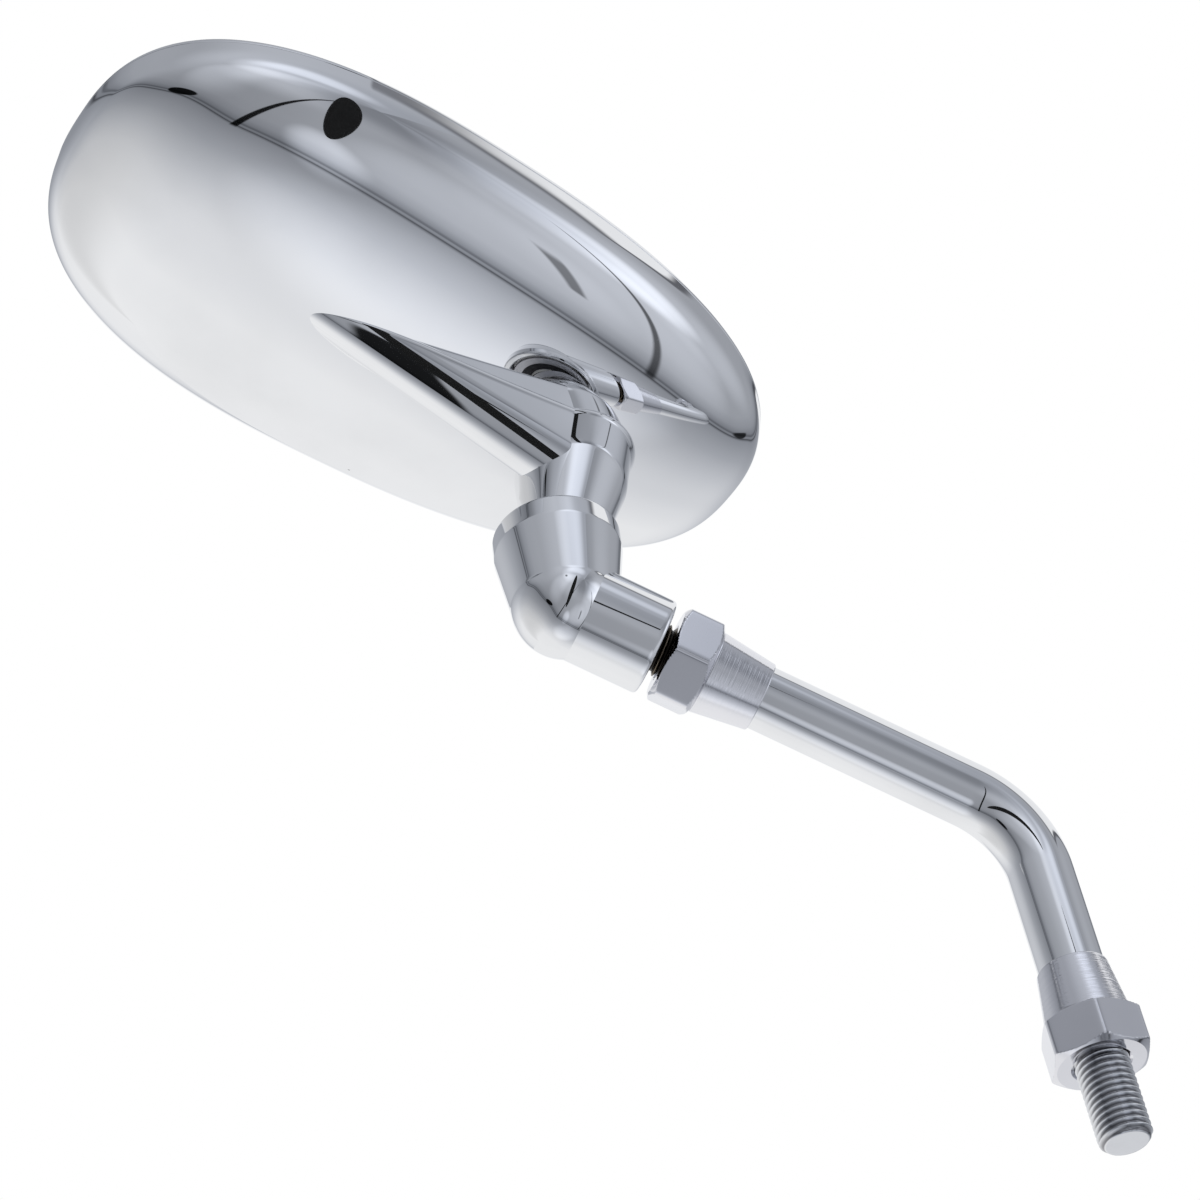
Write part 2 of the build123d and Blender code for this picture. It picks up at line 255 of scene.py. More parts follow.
@dataclass
class Nodes:
    """Short ways to add and link nodes in one node tree."""

    tree: bpy.types.NodeTree

    def add(self, kind: str, **settings: object) -> bpy.types.Node:
        """New node with its properties set.

        Args:
            kind: the node's type.
            **settings: its properties.

        Returns:
            The node.
        """
        node = self.tree.nodes.new(kind)
        for key, value in settings.items():
            setattr(node, key, value)
        return node

    def feed(self, socket: Socket, value: Input) -> None:
        """Links a node's socket to another socket, or sets its default.

        Args:
            socket: the input socket.
            value: an output socket, or a plain value.
        """
        if isinstance(value, bpy.types.NodeSocket):
            self.tree.links.new(value, socket)
        else:
            socket.default_value = value

    def math(self, operation: str, *values: Input) -> Socket:
        """Math node with its inputs fed in order.

        Args:
            operation: what the node works out.
            *values: its inputs.

        Returns:
            The result.
        """
        node = self.add("ShaderNodeMath", operation=operation)
        for socket, value in zip(node.inputs, values):
            self.feed(socket, value)
        return node.outputs[0]

    def dot(self, vector: Socket, axis: np.ndarray) -> Socket:
        """Dot product of a vector with a fixed axis.

        Args:
            vector: the vector.
            axis: the axis.

        Returns:
            The product.
        """
        node = self.add("ShaderNodeVectorMath", operation="DOT_PRODUCT")
        self.feed(node.inputs[0], vector)
        node.inputs[1].default_value = tuple(axis)
        return node.outputs["Value"]

    def smooth(self, value: Input, low: Input, high: Input) -> Socket:
        """Smooth step.

        Args:
            value: where to look.
            low: where the step is 0.
            high: where the step is 1.

        Returns:
            The step between 0 and 1.
        """
        node = self.add("ShaderNodeMapRange", interpolation_type="SMOOTHSTEP")
        self.feed(node.inputs["Value"], value)
        self.feed(node.inputs["From Min"], low)
        self.feed(node.inputs["From Max"], high)
        return node.outputs["Result"]

    def mix(self, factor: Input, first: Input, second: Input, blend: str = "MIX") -> Socket:
        """Mix of two colours.

        Args:
            factor: share of the second colour.
            first: the first colour.
            second: the second colour.
            blend: how they blend.

        Returns:
            The mixed colour.
        """
        node = self.add("ShaderNodeMix", data_type="RGBA", blend_type=blend)
        colours = [socket for socket in node.inputs if socket.type == "RGBA"]
        self.feed(node.inputs["Factor"], factor)
        self.feed(colours[0], first)
        self.feed(colours[1], second)
        return next(socket for socket in node.outputs if socket.type == "RGBA")

    def ramp(self, factor: Socket, stops: list[tuple[float, tuple]]) -> Socket:
        """Colour ramp.

        Args:
            factor: where to look, between 0 and 1.
            stops: the ramp's stops, as (position, colour).

        Returns:
            The colour there.
        """
        node = self.add("ShaderNodeValToRGB")
        ramp = node.color_ramp
        while len(ramp.elements) < len(stops):
            ramp.elements.new(1.0)
        for element, (position, colour) in zip(ramp.elements, stops):
            element.position = position
            element.color = (*colour, 1.0)
        self.feed(node.inputs["Fac"], factor)
        return node.outputs["Color"]

    def noise(self, vector: Socket, scale: float, detail: float = 3.0, roughness: float = 0.5) -> Socket:
        """Noise texture.

        Args:
            vector: place on the piece.
            scale: waves per metre.
            detail: octaves.
            roughness: how strong the finer octaves are.

        Returns:
            The noise's value, about 0.5 on average.
        """
        node = self.add("ShaderNodeTexNoise")
        self.feed(node.inputs["Vector"], vector)
        node.inputs["Scale"].default_value = scale
        node.inputs["Detail"].default_value = detail
        node.inputs["Roughness"].default_value = roughness
        return node.outputs["Fac"]

    def mapped(self, vector: Socket, **values: tuple | Vector | Euler) -> Socket:
        """Mapping node.

        Args:
            vector: place on the piece.
            **values: its Location, Rotation or Scale.

        Returns:
            The mapped place.
        """
        node = self.add("ShaderNodeMapping")
        self.feed(node.inputs["Vector"], vector)
        for name, value in values.items():
            node.inputs[name].default_value = value
        return node.outputs["Vector"]


def new_group(name: str, outputs: tuple[str, ...]) -> tuple[Nodes, Socket, bpy.types.Node]:
    """Empty node group that takes a place on the piece.

    Args:
        name: the group's name.
        outputs: names of its outputs, all values.

    Returns:
        Its nodes, the place's socket and the output node.
    """
    tree = bpy.data.node_groups.new(name, "ShaderNodeTree")
    tree.interface.new_socket("Vector", in_out="INPUT", socket_type="NodeSocketVector")
    for output in outputs:
        tree.interface.new_socket(output, in_out="OUTPUT", socket_type="NodeSocketFloat")
    nodes = Nodes(tree)
    return nodes, nodes.add("NodeGroupInput").outputs["Vector"], nodes.add("NodeGroupOutput")


@dataclass(frozen=True)
class HandlingMarks:
    """Node group of the haze, hairline scratches and pits that polished metal picks up.

    Scales are in waves or cells per metre, and each pair is where a noise starts to show and shows in full.
    """

    name: str = "handling_marks"
    haze_scale: float = 38.0
    haze_detail: float = 4.0
    haze_range: tuple[float, float] = (0.35, 0.8)
    scratch_turn: tuple[float, float, float] = (0.4, 0.9, 0.3)
    scratch_stretch: tuple[float, float, float] = (1.0, 1.0, 0.03)
    scratch_scale: float = 1500.0
    scratch_range: tuple[float, float] = (0.68, 0.76)
    worn_scale: float = 60.0
    worn_range: tuple[float, float] = (0.55, 0.75)
    pit_scale: float = 120.0
    pit_share: float = 0.03
    pitted_scale: float = 25.0
    pitted_from: float = 0.57

    def build(self) -> None:
        """Makes the group, with outputs Haze, Scratch and Pit between 0 and 1."""
        nodes, place, out = new_group(self.name, ("Haze", "Scratch", "Pit"))
        haze = nodes.noise(place, self.haze_scale, self.haze_detail)
        nodes.feed(out.inputs["Haze"], nodes.smooth(haze, *self.haze_range))
        drawn = nodes.mapped(place, Rotation=self.scratch_turn, Scale=self.scratch_stretch)
        lines = nodes.smooth(nodes.noise(drawn, self.scratch_scale, 1.0), *self.scratch_range)
        worn = nodes.smooth(nodes.noise(place, self.worn_scale, 2.0), *self.worn_range)
        nodes.feed(out.inputs["Scratch"], nodes.math("MULTIPLY", lines, worn))
        cells = nodes.add("ShaderNodeTexVoronoi")
        nodes.feed(cells.inputs["Vector"], place)
        cells.inputs["Scale"].default_value = self.pit_scale
        spots = nodes.math("LESS_THAN", cells.outputs["Distance"], self.pit_share)
        pitted = nodes.math("GREATER_THAN", nodes.noise(place, self.pitted_scale, 1.0), self.pitted_from)
        nodes.feed(out.inputs["Pit"], nodes.math("MULTIPLY", spots, pitted))


@dataclass(frozen=True)
class TurningLines:
    """Node group of the fine rings that a lathe leaves, as a function of the height along Z."""

    name: str = "turning_lines"
    stretch: tuple[float, float, float] = (0.02, 0.02, 1.0)
    line_scale: float = 2600.0
    line_detail: float = 3.0
    band_scale: float = 1100.0
    band_detail: float = 2.0
    roughness: float = 0.6

    def build(self) -> None:
        """Makes the group, with outputs Line and Band between 0 and 1."""
        nodes, place, out = new_group(self.name, ("Line", "Band"))
        flat = nodes.mapped(place, Scale=self.stretch)
        lines = nodes.noise(flat, self.line_scale, self.line_detail, self.roughness)
        bands = nodes.noise(flat, self.band_scale, self.band_detail, self.roughness)
        nodes.feed(out.inputs["Line"], lines)
        nodes.feed(out.inputs["Band"], bands)


MARKS = HandlingMarks()
RINGS = TurningLines()


@dataclass(frozen=True)
class Finish:
    """A metal, plastic or rubber finish with its own marks.

    Args:
        name: the material's name.
        colour: base colour.
        metallic: 1 for metal.
        roughness: roughness of the clean surface.
        marks: how much handling marks roughen it.
        relief: height of its marks, in metres.
        lathe: strength of turning lines, 0 for none.
        axis: frame whose Z is the turning axis.
        stain_shade_colour: colour of its haze stains and of the painted shade in its thread roots, or None.
        coat: weight of a clear coat.
        root_shade: radii round the axis, in metres, where the painted shade in its thread roots is full and
            where it ends, or None.
    """

    name: str
    colour: tuple[float, float, float]
    metallic: float
    roughness: float
    marks: float = 0.05
    relief: float = 0.0
    lathe: float = 0.0
    axis: Place | None = None
    stain_shade_colour: tuple[float, float, float] | None = None
    coat: float = 0.0
    root_shade: tuple[float, float] | None = None
    scratch_roughness: ClassVar[float] = 2.0
    mark_depth: ClassVar[float] = -0.4
    ring_roughness: ClassVar[float] = 0.06
    low_shade: ClassVar[float] = 0.82
    pit_shade: ClassVar[float] = 0.3
    haze_stain: ClassVar[float] = 0.35
    root_range: ClassVar[tuple[float, float]] = (0.95, 0.99)

    def shaded(self, share: float) -> tuple[float, ...]:
        """Its base colour, darkened to a share."""
        return tuple(share * channel for channel in self.colour)

    def root(self, nodes: Nodes, place: Socket) -> Socket:
        """Mask of the painted shade in the thread's roots: 1 at the inner radius of its root_shade, 0 at the
        outer and further in.

        Args:
            nodes: the node tree to add to.
            place: place in the frame of its axis.

        Returns:
            The mask.
        """
        inner, outer = self.root_shade
        flat = nodes.add("ShaderNodeVectorMath", operation="MULTIPLY")
        nodes.feed(flat.inputs[0], place)
        flat.inputs[1].default_value = (1.0, 1.0, 0.0)
        length = nodes.add("ShaderNodeVectorMath", operation="LENGTH")
        nodes.feed(length.inputs[0], flat.outputs[0])
        radius = length.outputs["Value"]
        low, high = self.root_range
        start = nodes.smooth(radius, low * inner, high * inner)
        return nodes.math("MULTIPLY", start, nodes.smooth(radius, outer, inner))

    def build(self) -> bpy.types.Material:
        """The finish as a node material.

        Returns:
            The new material.
        """
        material = bpy.data.materials.new(self.name)
        material.use_nodes = True
        nodes = Nodes(material.node_tree)
        shader = material.node_tree.nodes["Principled BSDF"]
        shader.inputs["Metallic"].default_value = self.metallic
        shader.inputs["Coat Weight"].default_value = self.coat
        place = nodes.add("ShaderNodeTexCoord").outputs["Object"]
        if self.axis is not None:
            location, rotation = self.axis.mapping()
            place = nodes.mapped(place, Location=location, Rotation=rotation)
        marks = nodes.add("ShaderNodeGroup", node_tree=bpy.data.node_groups[MARKS.name])
        nodes.feed(marks.inputs["Vector"], place)
        haze, scratch, pit = (marks.outputs[name] for name in ("Haze", "Scratch", "Pit"))
        rough = nodes.math("MULTIPLY_ADD", haze, self.marks, self.roughness)
        rough = nodes.math("MULTIPLY_ADD", scratch, self.scratch_roughness * self.marks, rough)
        height = nodes.math("MULTIPLY", nodes.math("ADD", scratch, pit), self.mark_depth)
        if self.lathe:
            rings = nodes.add("ShaderNodeGroup", node_tree=bpy.data.node_groups[RINGS.name])
            nodes.feed(rings.inputs["Vector"], place)
            share = self.lathe * self.ring_roughness
            rough = nodes.math("MULTIPLY_ADD", rings.outputs["Band"], share, rough)
            height = nodes.math("MULTIPLY_ADD", rings.outputs["Line"], self.lathe, height)
        # Low colour: that of the haze stains, and of the painted shade in the thread roots.
        low = self.shaded(self.low_shade) if self.stain_shade_colour is None else self.stain_shade_colour
        stain_and_shade = nodes.math("MULTIPLY", haze, self.haze_stain)
        # Painted shade: the thread roots darken towards the low colour.
        if self.root_shade is not None:
            stain_and_shade = nodes.math("MAXIMUM", stain_and_shade, self.root(nodes, place))
        colour = nodes.mix(stain_and_shade, (*self.colour, 1.0), (*low, 1.0))
        dark = (*self.shaded(self.pit_shade), 1.0)
        nodes.feed(shader.inputs["Base Color"], nodes.mix(pit, colour, dark))
        nodes.feed(shader.inputs["Roughness"], rough)
        if self.relief:
            bump = nodes.add("ShaderNodeBump")
            bump.inputs["Distance"].default_value = self.relief
            nodes.feed(bump.inputs["Height"], height)
            nodes.feed(shader.inputs["Normal"], bump.outputs["Normal"])
        return material


def dress(obj: bpy.types.Object, material: bpy.types.Material) -> None:
    """Gives an object one material."""
    obj.data.materials.clear()
    obj.data.materials.append(material)


# Sub-assemblies


@dataclass
class Stem:
    """Bent bar with its threaded ends and the two turned collars."""

    rod_radius: float = 6.0
    thread_radius: float = 4.93
    thread_pitch: float = 1.25
    thread_depth: float = 0.75
    crest_flat: float = 0.125
    flank_share: float = 0.3125
    stud_length: float = 16.0
    stud_chamfer: float = 1.0
    lower_nut_height: float = 8.6
    lock_nut_height: float = 8.0
    lock_gap: float = 1.9
    leg_length: float = 18.2
    engagement: float = 10.6
    collar_length: float = 10.9
    collar_large: float = 7.85
    collar_small: float = 6.5
    collar_edge: float = 0.35
    collar_ease: float = 0.25
    collar_clearance: float = 0.02
    straight_rows: int = 40
    bend_rows: int = 60
    bar_columns: int = 128
    rows_per_pitch: int = 20
    thread_columns: int = 96
    cap_shares: tuple[float, ...] = (0.0, 0.5, 0.95)

    @property
    def shank(self) -> float:
        """Distance from the elbow to the upper collar."""
        return self.leg_length + self.lock_gap + self.lock_nut_height

    def bar(self) -> bpy.types.Object:
        """Bar: a circle carried up the stud's axis, round the bend and along the arm.

        Returns:
            The bar's object.
        """
        layout = LAYOUT
        bend = radians(layout.bend_angle)
        reach = layout.bend_radius * tan(bend / 2)
        lower = np.linspace(self.lower_nut_height, layout.stem_height - reach, self.straight_rows)
        angle = np.linspace(0.0, bend, self.bend_rows)[1:]
        upper = np.linspace(reach, layout.arm_length - self.shank, self.bend_rows)[1:]
        turn_x = -layout.bend_radius * (1 - np.cos(angle))
        turn_z = lower[-1] + layout.bend_radius * np.sin(angle)
        x = np.concatenate([np.zeros(len(lower)), turn_x, -np.sin(bend) * upper])
        z = np.concatenate([lower, turn_z, layout.stem_height + np.cos(bend) * upper])
        slope = np.concatenate([np.zeros(len(lower)), angle, np.full(len(upper), bend)])
        round_angle = np.linspace(0.0, 2 * np.pi, self.bar_columns, endpoint=False)
        out, side = self.rod_radius * np.cos(round_angle), self.rod_radius * np.sin(round_angle)
        grid = np.stack([
            x[:, None] + np.cos(slope)[:, None] * out,
            np.broadcast_to(side, (len(x), len(side))),
            z[:, None] + np.sin(slope)[:, None] * out,
        ], axis=-1)
        middle = grid.mean(axis=1, keepdims=True)
        caps = np.repeat(middle[[0, -1]], grid.shape[1], axis=1)
        grid = np.concatenate([caps[:1], grid, caps[1:]])
        return piece("stem_bar", LAYOUT.base.put(grid), Body.STEM)

    def thread(self, name: str, place: Place, length: float) -> bpy.types.Object:
        """Screw thread: the radius falls and rises once per pitch, one pitch further on per turn.

        Args:
            name: the piece's name.
            place: frame whose Z runs from the shank to the free end.
            length: length of the thread.

        Returns:
            The thread's object.
        """
        rows = int(length / self.thread_pitch * self.rows_per_pitch)
        along = np.linspace(0.0, length, rows)[:, None]
        angle = np.linspace(0.0, 2 * np.pi, self.thread_columns, endpoint=False)[None, :]
        phase = np.mod(along / self.thread_pitch - angle / (2 * np.pi), 1.0)
        flank = (np.abs(phase - 0.5) - self.crest_flat / 2) / self.flank_share
        dip = self.thread_depth * np.clip(flank, 0.0, 1.0)
        lead = np.minimum(self.thread_radius, self.thread_radius - self.stud_chamfer + (length - along))
        radius = np.minimum(self.thread_radius - dip, lead)
        height = np.broadcast_to(along, radius.shape)
        grid = np.stack([radius * np.cos(angle), radius * np.sin(angle), height], axis=-1)
        shrink = np.array(self.cap_shares)[:, None, None] * np.array([1.0, 1.0, 0.0])
        level = np.array([0.0, 0.0, 1.0])
        caps = grid[[0, -1]]
        grid = np.concatenate([caps[0] * (shrink + level), grid, (caps[1] * (shrink + level))[::-1]])
        return piece(name, place.put(grid), Body.STEM)

    def collar(self, name: str, place: Place) -> bpy.types.Object:
        """Tapered collar: a spun profile with eased edges.

        Args:
            name: the piece's name.
            place: frame with the collar's large end at its origin.

        Returns:
            The collar's object.
        """
        bore = self.rod_radius + self.collar_clearance
        corners = [
            (bore, 0.0), (self.collar_large, 0.0), (self.collar_small, self.collar_length),
            (bore, self.collar_length), (bore, 0.0),
        ]
        profile = rounded(corners, [0.0, self.collar_edge, self.collar_ease, 0.0, 0.0])
        return piece(name, place.put(spun(profile)), Body.STEM)

    def build(self) -> None:
        """Makes and dresses the bar, both threads and both collars."""
        bar = self.bar()
        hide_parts("stem_rod")
        dress(bar, bpy.data.materials["polished_chrome"])
        low_place = LAYOUT.base.moved(0.0, 0.0, self.lower_nut_height)
        high_place = LAYOUT.leg.moved(0.0, 0.0, self.shank)
        down, up = low_place.turned("X", 180.0), high_place.turned("X", 180.0)
        # Painted shade in both threads' roots, between the root and crest radii.
        root_shade = ((self.thread_radius - self.thread_depth) * MM, self.thread_radius * MM)
        stud = self.thread("stud_thread", down, self.stud_length + self.lower_nut_height)
        # Zinc stud; its low colour is the painted shade in its thread roots and the colour of its haze
        # stains.
        zinc = Finish(
            "zinc_thread", (0.80, 0.81, 0.83), 1.0, 0.09, 0.08,
            axis=down, stain_shade_colour=(0.28, 0.28, 0.29), root_shade=root_shade,
        )
        dress(stud, zinc.build())
        lock = self.thread("lock_thread", up, self.shank - self.leg_length + self.engagement)
        # Oiled lock thread; its near-black low colour is the painted shade in its thread roots and the
        # colour of its haze stains.
        oiled = Finish(
            "oiled_thread", (0.24, 0.20, 0.15), 1.0, 0.25, 0.15,
            axis=up, stain_shade_colour=(0.02, 0.017, 0.014), root_shade=root_shade,
        )
        dress(lock, oiled.build())
        for name, node, place in (
            ("lower_collar", "lower_ferrule", low_place),
            ("upper_collar", "upper_ferrule", high_place),
        ):
            made = self.collar(name, place)
            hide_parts(node)
            look = Finish(
                f"turned_{name}", (0.82, 0.82, 0.85), 1.0, 0.045, 0.04,
                relief=5e-5, lathe=1.0, axis=place,
            )
            dress(made, look.build())


@dataclass
class HexNut:
    """Chamfered hexagon nut."""

    name: str
    node: str
    body: Body
    place: Place
    height: float
    spin: float
    across_flats: float = 17.0
    bore: float = 4.98
    countersink: float = 0.6
    face_share: float = 0.95
    chamfer_angle: float = 30.0
    corner_power: float = 45.0
    side_steps: int = 33
    side_power: float = 0.5
    edge_rows: int = 26
    edge_power: float = 1.6
    mouth_land: float = 0.05
    sharp_angle: float = 24.0

    def build(self) -> None:
        """Makes and dresses the nut.

        The outside is the lesser of three radii at each height and angle: the hexagon, as a
        high-power norm over its three pairs of flats, and the two chamfer cones.
        """
        sixth, twelfth = radians(60.0), radians(30.0)
        side = np.linspace(-1.0, 1.0, self.side_steps)[:-1]
        eased = np.sign(side) * np.abs(side) ** self.side_power
        angle = (sixth * np.arange(6)[:, None] + twelfth * eased[None, :]).ravel()
        flats = np.cos(angle[:, None] - sixth * np.arange(3)[None, :])
        norm = (np.abs(flats) ** self.corner_power).sum(axis=1) ** (1 / self.corner_power)
        hexagon = self.across_flats / 2 / norm
        face = self.across_flats / 2 * self.face_share
        slope = tan(radians(self.chamfer_angle))
        step = np.linspace(0.0, 1.0, self.edge_rows) ** self.edge_power / 2
        heights = self.height * np.concatenate([step, 1 - step[::-1]])
        edge = np.minimum(heights, self.height - heights)
        cone = face + edge / slope
        outside = np.minimum(hexagon[None, :], cone[:, None])
        mouth = self.bore + self.countersink
        land = mouth + self.mouth_land
        ones = np.ones_like(angle)[None, :]
        radius = np.concatenate([
            self.bore * ones, mouth * ones, land * ones, outside,
            land * ones, mouth * ones, self.bore * ones, self.bore * ones,
        ])
        levels = np.concatenate([
            [self.countersink, 0.0, 0.0], heights,
            [self.height, self.height, self.height - self.countersink, self.countersink],
        ])[:, None] * ones
        angle = angle + radians(self.spin) + twelfth
        grid = np.stack([radius * np.cos(angle), radius * np.sin(angle), levels], axis=-1)
        made = piece(self.name, self.place.put(grid), self.body)
        made.data.set_sharp_from_angle(angle=radians(self.sharp_angle))
        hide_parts(self.node)
        look = Finish(
            f"plated_{self.name}", (0.80, 0.80, 0.83), 1.0, 0.05, 0.05,
            relief=1.5e-6, lathe=0.2, axis=self.place,
        )
        dress(made, look.build())


@dataclass
class Knuckle:
    """Casting with its leg, elbow and cup."""

    elbow_radius: float = 9.9
    leg_radius: float = 9.1
    leg_length: float = 18.2
    leg_edge: float = 0.9
    hole_radius: float = 4.98
    hole_end: float = 7.1
    countersink: float = 0.6
    cup_radius: float = 11.8
    cup_band: float = 4.2
    cup_edge: float = 0.45
    cup_lip: float = 1.3
    cup_flare: float = 1.2
    bore_radius: float = 9.3
    bore_floor: float = 4.5
    ball_rows: int = 70
    ball_end: float = -0.05
    wall_ease: float = 0.25
    lip_ease: float = 0.2
    inner_ease: float = 0.1

    def cup(self) -> bpy.types.Object:
        """Cup and elbow: one spun profile from the elbow's ball up the cone, over the rim and down the bore.

        Returns:
            The cup's object.
        """
        top = LAYOUT.cup_height
        swing = np.linspace(-np.pi / 2, self.ball_end, self.ball_rows)
        ball = self.elbow_radius * np.stack([np.cos(swing), np.sin(swing)], axis=1)
        corners = [
            tuple(ball[-1]), (self.elbow_radius, 0.0), (self.cup_radius, top - self.cup_band),
            (self.cup_radius, top), (self.cup_radius - self.cup_lip, top),
            (self.bore_radius, top - self.cup_flare), (self.bore_radius, self.bore_floor),
            (0.0, self.bore_floor),
        ]
        walls = rounded(corners, [
            0.0, self.wall_ease, self.wall_ease, self.cup_edge,
            self.lip_ease, self.lip_ease, self.inner_ease, 0.0,
        ])
        profile = np.concatenate([ball, walls[1:]])
        return piece("knuckle_cup", LAYOUT.cup.put(spun(profile, CLOSE_SEGMENTS)), Body.KNUCKLE)

    def leg(self) -> bpy.types.Object:
        """Leg: a spun wall whose inner end follows the cup's wall, with a tapped hole in its end.

        Returns:
            The leg's object.
        """
        length, radius = self.leg_length, self.leg_radius
        hole, end = self.hole_radius, self.hole_end
        corners = [
            (radius, 0.0), (radius, length), (hole + self.countersink, length),
            (hole, length - self.countersink), (hole, end), (0.0, end),
        ]
        profile = rounded(corners, [0.0, self.leg_edge, self.inner_ease, self.inner_ease, 0.0, 0.0])
        grid = spun(profile, CLOSE_SEGMENTS)
        lean = radians(LAYOUT.elbow_angle)
        angle = np.arctan2(grid[0, :, 1], grid[0, :, 0])
        wall = (self.bore_radius + self.elbow_radius) / 2
        away = np.sqrt(np.maximum(wall**2 - (radius * np.sin(angle)) ** 2, 0.0))
        start = (away - np.cos(lean) * radius * np.cos(angle)) / np.sin(lean)
        grid[0, :, 2] = np.where(np.cos(angle) < 0, start, start[np.abs(np.cos(angle)).argmin()])
        place = LAYOUT.cup.turned("Y", LAYOUT.elbow_angle)
        return piece("knuckle_leg", place.put(grid), Body.KNUCKLE)

    def build(self) -> None:
        """Makes and dresses the cup and the leg."""
        cup, leg = self.cup(), self.leg()
        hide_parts("knuckle")
        for made in (cup, leg):
            dress(made, bpy.data.materials["polished_chrome"])


